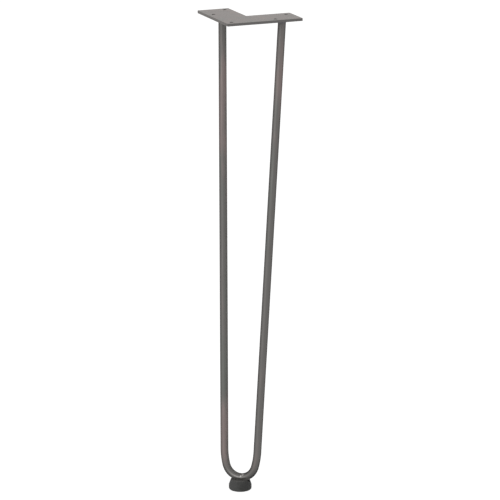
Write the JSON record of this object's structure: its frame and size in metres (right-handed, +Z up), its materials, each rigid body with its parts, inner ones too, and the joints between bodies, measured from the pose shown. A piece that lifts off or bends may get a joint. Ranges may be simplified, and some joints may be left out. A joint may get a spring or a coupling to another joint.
{
  "type": "hairpin table leg",
  "caption": "Steel hairpin table leg: a round bar bent to a long narrow U, welded under an L-shaped screw plate, standing on a round rubber foot.",
  "frame": {"origin": "in the plate's top face, straight above the middle of the foot", "axes": "+Z up through the plate's top face, +X and +Y along the plate's two arms; the leg runs down to z = -0.733 m"},
  "size_m": [0.12, 0.12, 0.733],
  "materials": {
    "plate_steel": "satin clear-coated bare steel",
    "bar_steel": "satin clear-coated bare steel",
    "weld_steel": "brushed-off weld under clear coat",
    "rubber": "matte moulded",
    "zinc_steel": "zinc plated"
  },
  "bodies": {
    "root": {"mounting_plate": "plate_steel", "hairpin_rod": "bar_steel", "weld_bead_x": "weld_steel", "weld_bead_y": "weld_steel", "rubber_foot": "rubber", "foot_washer": "zinc_steel", "foot_screw": "zinc_steel"}
  },
  "joints": []
}
